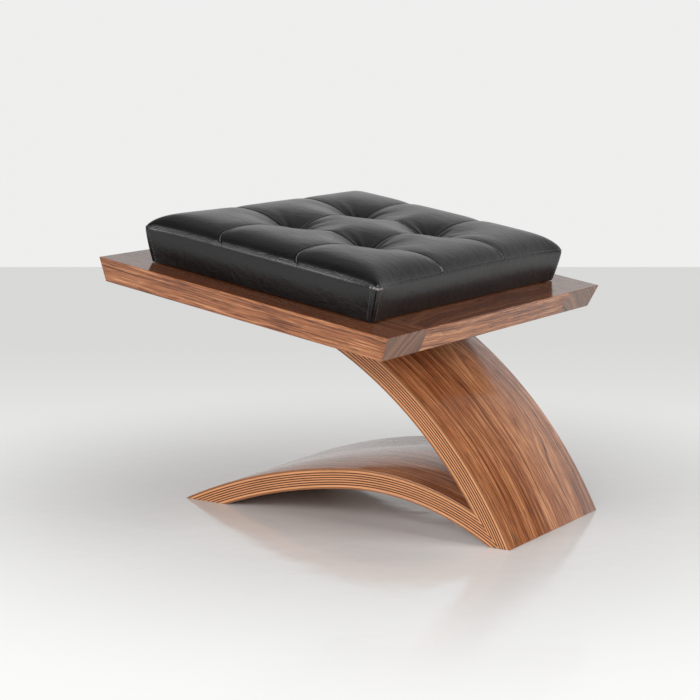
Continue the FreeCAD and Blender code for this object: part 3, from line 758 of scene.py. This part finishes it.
class Cushion:
    """The cushion in the making, in the seat's frame: u forward, v to the left, w up."""

    def __init__(self, sizes):
        self.sizes = sizes
        directions = (SEAT_ALONG, ACROSS)
        self.low_u, self.low_v = [
            reach(["cushion_lining"], d)[1] - SEAT_MIDDLE.dot(d) + sizes.leather for d in directions
        ]
        self.top_u, self.top_v = [reach(BANDS, d)[1] - SEAT_MIDDLE.dot(d) for d in directions]
        self.low_u += sizes.spread * 0.3
        self.low_v += sizes.spread
        self.seam_u, self.seam_v = self.top_u / 3, self.top_v / 3
        self.cell = 2 * self.top_u / COLUMNS

    def height(self, u, v):
        """The top's height over the seat before the stuffing pushes it out."""
        s = self.sizes
        in_u, in_v = self.top_u - abs(u), self.top_v - abs(v)
        rim = s.side - self.droop(u, v, self.top_u, self.top_v)
        inside = (max(in_u, 1e-6) ** -4 + max(in_v, 1e-6) ** -4) ** -0.25
        rise = rim + (s.crown - rim) * (1 - exp(-inside / s.roll))
        off_u, off_v = abs(abs(u) - self.seam_u), abs(abs(v) - self.seam_v)
        pull = exp(-((hypot(off_u, off_v) / s.tuft_reach) ** 1.25))
        # A seam's valley fades over some 6 mm each way, and within 25 mm of the edge.
        valley = s.valley * exp(-min(off_u, off_v) / (6 * MM)) * eased(min(in_u, in_v), 0, 25 * MM)
        return (rise - valley) * (1 - pull) + s.tuft * pull

    def askew(self, u, v):
        """Lets the near and the front seams run askew, as hand-set panels do."""
        s = self.sizes
        near = eased(-v, self.seam_v, self.top_v) * (1 - (u / self.top_u) ** 4)
        front = eased(u, self.seam_u, self.top_u) * (1 - (v / self.top_v) ** 4)
        return u - s.skew * near, v - s.skew * 0.45 * front

    def blank(self):
        """The cover as cut and sewn: a gridded top with its sides drawn down and in."""
        s = self.sizes
        grid = {"x_subdivisions": COLUMNS, "y_subdivisions": ROWS, "size": 1}
        cover = added(bpy.ops.mesh.primitive_grid_add, "cushion_cover", **grid)
        cover.scale = (2 * self.top_u, 2 * self.top_v, 1)
        settled(cover)
        editing(cover, "EDGE")
        bpy.ops.mesh.select_all(action="SELECT")
        bpy.ops.mesh.region_to_loop()
        drop = (s.side - s.foot) / SIDE_RINGS
        for ring in range(SIDE_RINGS):
            shrink = [
                (top - (top - low) * (ring + 1) / SIDE_RINGS) / (top - (top - low) * ring / SIDE_RINGS)
                for top, low in ((self.top_u, self.low_u), (self.top_v, self.low_v))
            ]
            bpy.ops.mesh.extrude_edges_move(TRANSFORM_OT_translate={"value": (0, 0, -drop)})
            bpy.ops.transform.resize(value=(*shrink, 1), center_override=(0, 0, 0))
        bpy.ops.mesh.select_all(action="SELECT")
        bpy.ops.mesh.normals_make_consistent(inside=False)
        done()
        self.form(cover)
        return cover

    def form(self, cover):
        """Crowns the top, bellies the sides and marks what the stitching holds."""
        groups = {name: cover.vertex_groups.new(name=name) for name in MARKS}
        for vertex in cover.data.vertices:
            formed = self.side_point if vertex.co.z < -MM else self.top_point
            vertex.co, marks = formed(*vertex.co)
            for name, weight in marks.items():
                groups[name].add([vertex.index], weight, "REPLACE")

    def plan(self, u, v, half_u, half_v, fall):
        """Rounds a corner in plan and pushes it out, less and less down to the foot."""
        s = self.sizes
        u, v = rounded_plan(u, v, half_u, half_v, s.corner * (1 - fall) ** 2)
        ear = s.ear * abs(u / half_u * v / half_v) ** 8 * (1 - 0.6 * fall)
        lean = 1 - fall
        return u + ear * u / half_u - s.lean_back * lean, v + ear * v / half_v - s.lean_right * lean

    def droop(self, u, v, half_u, half_v):
        """How far the top seam falls; the front right corner is bunched up and stays."""
        bunched = eased(u / half_u, 0.6, 1.0) * eased(-v / half_v, 0.6, 1.0)
        return self.sizes.corner_droop * abs(u / half_u * v / half_v) ** 4 * (1 - bunched)

    def side_point(self, u, v, w):
        """Where a point of a side goes, bellied out, and its marks."""
        s = self.sizes
        fall = -w / (s.side - s.foot)
        half_u = self.top_u + (self.low_u - self.top_u) * fall
        half_v = self.top_v + (self.low_v - self.top_v) * fall
        far_u, far_v = abs(u / half_u), abs(v / half_v)
        marks = {"held": 1.0}
        if min(far_u, far_v) > 0.999:
            marks["corners"] = 1.0
        high = s.side + w - self.droop(u, v, half_u, half_v) * (1 - fall)
        belly = s.side_puff * sin(pi * fall) * (1 - (far_u * far_v) ** 6)
        belly_u = belly * u / half_u if far_u > 0.999 else 0
        belly_v = belly * v / half_v if far_v > 0.999 else 0
        u, v = self.plan(u, v, half_u, half_v, fall)
        return (u + belly_u, v + belly_v, high), marks

    def top_point(self, u, v, _):
        """Where a point of the top goes, and its marks; the more it is held, the less it swells."""
        off_u, off_v = abs(abs(u) - self.seam_u), abs(abs(v) - self.seam_v)
        in_u, in_v = self.top_u - abs(u), self.top_v - abs(v)
        tuft, inside = hypot(off_u, off_v), min(in_u, in_v)
        near = self.cell / 4
        marks = {}
        if min(off_u, off_v) < near:
            marks["seams"], marks["held"] = 1.0, 0.16
        if tuft < self.cell * 1.6 or inside < self.cell * 1.2:
            marks["held"] = 0.5
        if tuft < near or inside < near:
            marks["held"] = 1.0
        if in_v < near:
            marks["ribs"] = 1.0
        if in_u < near:
            marks["ends"] = 1.0
        high = self.height(u, v)
        if inside > near:
            u, v = self.askew(u, v)
        return (*self.plan(u, v, self.top_u, self.top_v, 0), high), marks

    def stuff(self, cover):
        """Lets the stuffing press the leather out between its seams and tufts."""
        s = self.sizes
        before = [vertex.co.copy() for vertex in cover.data.vertices]
        stuffing = cover.modifiers.new("Stuffing", "CLOTH")
        leather = stuffing.settings
        leather.quality = 8
        leather.mass = 0.4
        leather.tension_stiffness = leather.compression_stiffness = 20
        leather.shear_stiffness = 12
        leather.bending_stiffness = 4.0
        leather.use_pressure = True
        leather.uniform_pressure_force = 4
        leather.effector_weights.gravity = 0
        leather.vertex_group_mass = "held"
        leather.pin_stiffness = 1.0
        stuffing.collision_settings.use_collision = False
        only(cover)
        for now in range(1, STUFFING_FRAMES + 1):
            bpy.context.scene.frame_set(now)
        bpy.ops.object.modifier_apply(modifier=stuffing.name)
        bpy.context.scene.frame_set(1)
        for vertex, start in zip(cover.data.vertices, before):
            moved = vertex.co - start
            if moved.length > s.puff:
                vertex.co = start + moved * (s.puff / moved.length)

    def weights(self, cover, name):
        """How far each point of the cover belongs to one of the marked lines."""
        group = cover.vertex_groups[name].index
        return [
            next((g.weight for g in vertex.groups if g.group == group), 0.0)
            for vertex in cover.data.vertices
        ]

    def wrinkled(self, at):
        """Height of the fine wrinkles that run out from the tufts."""
        u, v = at.x + self.sizes.lean_back, at.y + self.sizes.lean_right
        total = 0.0
        for number, (side_u, side_v) in enumerate(((-1, -1), (-1, 1), (1, -1), (1, 1))):
            run, rise = u - side_u * self.seam_u, v - side_v * self.seam_v
            far, bearing = hypot(run, rise), atan2(rise, run)
            # Waves of 9 and 14 to the turn, rising 4 to 14 mm out and mostly gone by 50 mm.
            swell = sin(9 * bearing + 2.1 * number) + 0.8 * sin(14 * bearing + 1.3 * number + 0.7)
            total += swell * eased(far, 4 * MM, 14 * MM) * exp(-((far / (30 * MM)) ** 1.6))
        return total * self.sizes.wrinkle

    def sew(self, cover):
        """Rounds the cover, presses in its seams and closes it under the board."""
        s = self.sizes
        applied(cover, "SUBSURF", levels=2, render_levels=2)
        outward = [vertex.normal.copy() for vertex in cover.data.vertices]
        marked = zip(*(self.weights(cover, name) for name in MARKS[1:]))
        for vertex, normal, (seam, rib, end, corner) in zip(cover.data.vertices, outward, marked):
            bite = eased(seam, 0.6, 1.0) - 0.25 * eased(seam, 0.35, 0.65)
            bite += 0.5 * eased(end, 0.55, 1.0) + 0.2 * eased(rib, 0.55, 1.0)
            bite += 0.9 * eased(corner, 0.84, 1.0) * eased(vertex.co.z, 1 * MM, 6 * MM)
            rise = self.wrinkled(vertex.co) if vertex.co.z > s.side + MM else 0
            vertex.co += normal * (rise - s.stitch_depth * bite)
        editing(cover, "EDGE")
        bpy.ops.mesh.select_all(action="SELECT")
        bpy.ops.mesh.region_to_loop()
        bpy.ops.mesh.extrude_edges_move()
        bpy.ops.mesh.merge(type="CENTER")
        done()
        only(cover)
        bpy.ops.object.shade_smooth_by_angle(angle=radians(60))

    def cord(self, cover, name, mark, radius, offset):
        """A cord laid along a marked line of the cover; offset is out and down from it."""
        chosen = [weight > 0.99 for weight in self.weights(cover, mark)]
        editing(cover)
        done()
        for vertex, picked in zip(cover.data.vertices, chosen):
            vertex.select = picked
        bpy.ops.object.mode_set(mode="EDIT")
        bpy.ops.mesh.duplicate()
        bpy.ops.mesh.separate(type="SELECTED")
        done()
        piece = next(o for o in bpy.context.selected_objects if o is not cover)
        piece.name = piece.data.name = name
        piece.vertex_groups.clear()
        out, down = offset
        moved = [v.co + v.normal * out - Vector((0, 0, down)) for v in piece.data.vertices]
        for vertex, at in zip(piece.data.vertices, moved):
            vertex.co = at
        applied(piece, "SMOOTH", factor=0.5, iterations=6)
        bpy.ops.object.convert(target="CURVE")
        piece.data.bevel_depth = radius
        piece.data.bevel_resolution = 2
        piece.data.use_fill_caps = True
        bpy.ops.object.convert(target="MESH")
        bpy.ops.object.shade_smooth()
        return bpy.context.object

    def rows(self):
        """Each row of stitches, as its first and last points."""
        s = self.sizes
        low, high = s.foot + 3 * MM, s.side - s.margin - MM
        short = 12 * MM  # how far the rows along the ribs stop short of the corners
        found = []
        under = s.side - 2 * s.rib - s.thread
        for side_v in (-1, 1):
            v = side_v * self.top_v - s.lean_right
            for side_u in (-1, 1):
                u = side_u * self.top_u - s.lean_back
                foot_u, foot_v = side_u * self.low_u, side_v * self.low_v
                in_u, in_v = -side_u * s.margin, -side_v * s.margin
                found.append(((foot_u + in_u, foot_v, low), (u + in_u, v, high)))
                found.append(((foot_u, foot_v + in_v, low), (u, v + in_v, high)))
            rear, front = (side_u * (self.top_u - short) - s.lean_back for side_u in (-1, 1))
            found.append(((rear, v, under), (front, v, under)))
        return found

    def strewn(self, cover, name, scale, places, proud=0.0):
        """Copies of one small bead on the cover, each a point near it and a turn."""
        ball = {"segments": 8, "ring_count": 5, "radius": 0.5}
        first = added(bpy.ops.mesh.primitive_uv_sphere_add, name, **ball)
        first.scale = scale
        settled(first)
        bpy.ops.object.shade_smooth()
        copies = []
        for near, turn in places:
            _, at, normal, _ = cover.closest_point_on_mesh(near)
            one = first.copy()
            one.data = first.data.copy()
            one.matrix_world = Matrix.LocRotScale(at + normal * proud, turn, None)
            bpy.context.scene.collection.objects.link(one)
            copies.append(one)
        bpy.data.objects.remove(first)
        only(*copies)
        bpy.ops.object.join()
        copies[0].name = copies[0].data.name = name
        return copies[0]

    def stitches(self, cover):
        """Every stitch that shows, in rows beside the corner seams and under the ribs."""
        s = self.sizes
        places = []
        for start, end in self.rows():
            start, end = Vector(start), Vector(end)
            count = int((end - start).length / s.pitch)
            turn = (end - start).to_track_quat("Z", "Y")
            places += [(start.lerp(end, k / count), turn) for k in range(count + 1)]
        return self.strewn(cover, "cushion_stitching", (s.thread, s.thread, s.stitch), places)

    def gathers(self, cover):
        """The small pleats that ease in the bunched corner, just under its seam."""
        s = self.sizes
        places = []
        tip_u = self.top_u + s.ear - s.lean_back
        tip_v = -self.top_v - s.ear - s.lean_right
        for k in (-2.5, -1.5, -0.5, 0.5, 1.5, 2.5):
            back_u, back_v = (1.3 * s.gather * max(0, way * k) for way in (-1, 1))
            near = Vector((tip_u - back_u, tip_v + back_v, s.side - 2 * MM))
            bearing = atan2(k - 3, k + 3)
            places.append((near, Matrix.Rotation(bearing, 3, "Z").to_quaternion()))
        bead = (s.gather * 0.8, s.gather, s.gather * 0.85)
        return self.strewn(cover, "cushion_corner_gathers", bead, places, proud=s.gather * 0.15)


class BENCH_OT_cushion(bpy.types.Operator):
    """Cut, sew, stuff and tuft the leather cushion"""

    bl_idname = "bench.cushion"
    bl_label = "Cushion"

    def execute(self, context):
        colours = context.scene.bench_colours
        sizes = context.scene.bench_cushion
        making = Cushion(sizes)
        cover = making.blank()
        making.stuff(cover)
        making.sew(cover)
        leather = hide("black hide", colours)
        # Painted highlight: the hides for the seams and the corner pleats are 13 to 60 times lighter in
        # colour than the plain hide, besides being less rough where noted.
        polished_and_painted_highlight = hide("pressed seams", colours, 0.24, 13.0)
        folded = hide("folded seams", colours, 0.28, 34.0)
        shiny_and_painted_highlight = hide("gathered corner", colours, 0.12, 60.0)
        # Each line's piece, the mark it follows, its radius, how far out and down it lies, its finish.
        lines = (
            ("cushion_right_left_ribs", "ribs", sizes.rib, (0.3 * MM, 0.4 * MM), polished_and_painted_highlight),
            ("cushion_end_seams", "ends", sizes.fold, (0.7 * MM, 0.0), polished_and_painted_highlight),
            ("cushion_panel_seams", "seams", sizes.fold, (1.35 * MM, 0.0), folded),
        )
        for name, mark, radius, offset, finish in lines:
            piece = settled(making.cord(cover, name, mark, radius, offset), SEAT)
            finished(piece, finish, "cushion")
        waxed = thread("waxed thread", colours)
        finished(settled(making.stitches(cover), SEAT), waxed, "cushion")
        finished(settled(making.gathers(cover), SEAT), shiny_and_painted_highlight, "cushion")
        settled(cover, SEAT)
        finished(cover, leather, "cushion", PANELS + BANDS + ["cushion_foam"])
        refinished(["cushion_lining"], cloth("lining cloth", colours, 0.8))
        refinished(["hook_strips", "loop_strips"], cloth("hook and loop tape", colours, 1.6))
        refinished(["tuft_twine"], cloth("tufting twine", colours, 0.5))
        refinished(["tuft_toggles"], hide("moulded toggle", colours, 0.25))
        return {"FINISHED"}


# ---------------------------------------------------------------- stage
PALE = (0.86, 0.86, 0.855)  # what the camera sees of the wall, as a linear colour
FLOOR_SIZE, WALL_SIZE = 30, 27
WORLD_STRENGTH = 0.13
# Each lamp's name, its place right, near and up from the bench's middle, its size and its watts.
LAMPS = (
    ("key", 1.9, 0.9, 0.9, 1.3, 30),
    ("top", 0.4, 0.2, 2.3, 2.2, 6),
    ("fill", -0.4, 2.5, 0.7, 1.4, 26),
    ("left", -1.5, 1.2, 0.9, 0.9, 18),
)


def lamp(name, at, aim, size, power):
    """A soft square lamp."""
    data = bpy.data.lights.new(name, "AREA")
    data.size, data.energy = size, power
    made = bpy.data.objects.new(name, data)
    bpy.context.scene.collection.objects.link(made)
    made.location = at
    made.rotation_euler = (aim - at).to_track_quat("-Z", "Y").to_euler()
    return made


def painted(name, colour, rough):
    """Studio paint, and its place in millimetres."""
    finish = Finish(name, Roughness=rough)
    x, y, z = finish.place()
    roller = finish.noise((x / 900, y / 900, z / 900))
    finish.feed(Base_Color=finish.mix(roller, scaled(colour, 0.985), colour))
    return finish, x, y


def glowing(finish, glow, share):
    """Lets the camera and reflections see a share of the paint as its own even glow."""
    camera = finish.node("LightPath", output="Is Camera Ray")
    glossy = finish.node("LightPath", output="Is Glossy Ray")
    light = finish.node("Emission", None, {"Color": glow, "Strength": 1.0})
    body = Signal(finish, finish.shader.outputs[0])
    shown = finish.node("MixShader", None, {0: (camera + glossy) * share, 1: body, 2: light})
    finish.tree.links.new(shown.socket, finish.tree.nodes["Material Output"].inputs["Surface"])
    return finish.material


def wall_paint(colour):
    """A white wall whose glow, a painted light, is brightest low down and dims higher up."""
    finish, _, y = painted("backdrop paint", colour, 0.8)
    height = y + WALL_SIZE / 2 / MM
    dim = (0.36, 0.36, 0.36)
    return glowing(finish, finish.mix(height.between(5440.0, 2110.0), dim, PALE), 1.0)


def floor_paint(colour, azimuth, line):
    """A glossy white floor whose glow, a painted light, is brighter towards the camera; past a line
    it's as pale as the wall.
    """
    finish, x, y = painted("floor paint", colour, 0.13)
    finish.bump(finish.noise((x / 34, y / 34, 0.0)), 0.00045)
    near = x * sin(azimuth) - y * cos(azimuth)
    far_glow, near_glow, most = (0.72, 0.72, 0.71), (1.0, 1.0, 0.995), 0.84
    glow = finish.mix(near.between(-1200.0, 500.0), far_glow, near_glow)
    away = (x * x + y * y).root().between(220.0, 700.0)
    past = near.between(line + 2.0, line - 2.0)
    return glowing(finish, finish.mix(past, glow, PALE), away * most + past * (1 - most))


def studio_world(strength):
    """Even white light of this strength, which the camera sees as the wall's own white."""
    world = bpy.data.worlds.new("studio")
    world.use_nodes = True
    tree = world.node_tree
    light = tree.nodes["Background"]
    light.inputs["Color"].default_value = (1, 1, 1, 1)
    light.inputs["Strength"].default_value = strength
    seen = tree.nodes.new("ShaderNodeBackground")
    seen.inputs["Color"].default_value = (*PALE, 1)
    camera = tree.nodes.new("ShaderNodeLightPath").outputs["Is Camera Ray"]
    shown = tree.nodes.new("ShaderNodeMixShader")
    tree.links.new(camera, shown.inputs[0])
    tree.links.new(light.outputs[0], shown.inputs[1])
    tree.links.new(seen.outputs[0], shown.inputs[2])
    tree.links.new(shown.outputs[0], tree.nodes["World Output"].inputs["Surface"])
    return world


class BENCH_OT_stage(bpy.types.Operator):
    """Set up the floor, backdrop, lamps and camera"""

    bl_idname = "bench.stage"
    bl_label = "Stage"

    def execute(self, context):
        view = context.scene.bench_view
        colours = context.scene.bench_colours
        low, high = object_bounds()
        aim = Vector((-view.aim_back, 0, view.aim_height))
        level = Vector((sin(view.azimuth), -cos(view.azimuth), 0))
        side = Vector((cos(view.azimuth), sin(view.azimuth), 0))
        back = level * cos(view.elevation) + Vector((0, 0, sin(view.elevation)))
        data = bpy.data.cameras.new("camera")
        data.lens, data.sensor_width = view.lens, 36
        camera = bpy.data.objects.new("camera", data)
        context.scene.collection.objects.link(camera)
        camera.location = aim + back * view.distance
        camera.rotation_euler = (pi / 2 - view.elevation, 0, view.azimuth)
        context.scene.camera = camera

        floor = added(bpy.ops.mesh.primitive_plane_add, "floor", size=FLOOR_SIZE)
        floor.location.z = -0.3 * MM
        line = (camera.location.dot(level) - view.line) / MM
        floor.data.materials.append(floor_paint(colours.floor, view.azimuth, line))
        floor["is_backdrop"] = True
        wall = added(bpy.ops.mesh.primitive_plane_add, "backdrop", size=WALL_SIZE)
        wall.location = Vector((0, 0, WALL_SIZE / 2)) - level * view.wall
        wall.rotation_euler = (pi / 2, 0, view.azimuth)
        wall.data.materials.append(wall_paint(colours.wall))
        wall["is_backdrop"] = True

        middle = (low + high) / 2
        for name, right, near, up, size, power in LAMPS:
            at = middle + side * right + level * near + Vector((0, 0, up))
            made = lamp(name, at, middle, size, power)
            made.visible_glossy = name != "top"
        context.scene.world = studio_world(WORLD_STRENGTH)
        context.scene.view_settings.view_transform = "Standard"
        return {"FINISHED"}


class BENCH_PT_sidebar(bpy.types.Panel):
    """Lists the bench's sizes, colours and making steps"""

    bl_idname = "BENCH_PT_sidebar"
    bl_label = "Kneeling Bench"
    bl_space_type = "VIEW_3D"
    bl_region_type = "UI"
    bl_category = "Bench"

    def draw(self, context):
        for step in STEPS:
            self.layout.operator(step.bl_idname)
        for group, kind in GROUPS.items():
            held = getattr(context.scene, group)
            column = self.layout.column(align=True)
            column.label(text=kind.__name__)
            for name in kind.__annotations__:
                column.prop(held, name)


STEPS = (BENCH_OT_seat_frame, BENCH_OT_bent_members, BENCH_OT_cushion, BENCH_OT_stage)


def register():
    for kind in (*GROUPS.values(), *STEPS, BENCH_PT_sidebar):
        bpy.utils.register_class(kind)
    for group, kind in GROUPS.items():
        setattr(bpy.types.Scene, group, bpy.props.PointerProperty(type=kind))


def unregister():
    for group in GROUPS:
        delattr(bpy.types.Scene, group)
    for kind in reversed((*GROUPS.values(), *STEPS, BENCH_PT_sidebar)):
        bpy.utils.unregister_class(kind)


def main():
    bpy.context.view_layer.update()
    register()
    bpy.ops.bench.seat_frame()
    bpy.ops.bench.bent_members()
    bpy.ops.bench.cushion()
    bpy.ops.bench.stage()


if __name__ == "__main__":
    main()
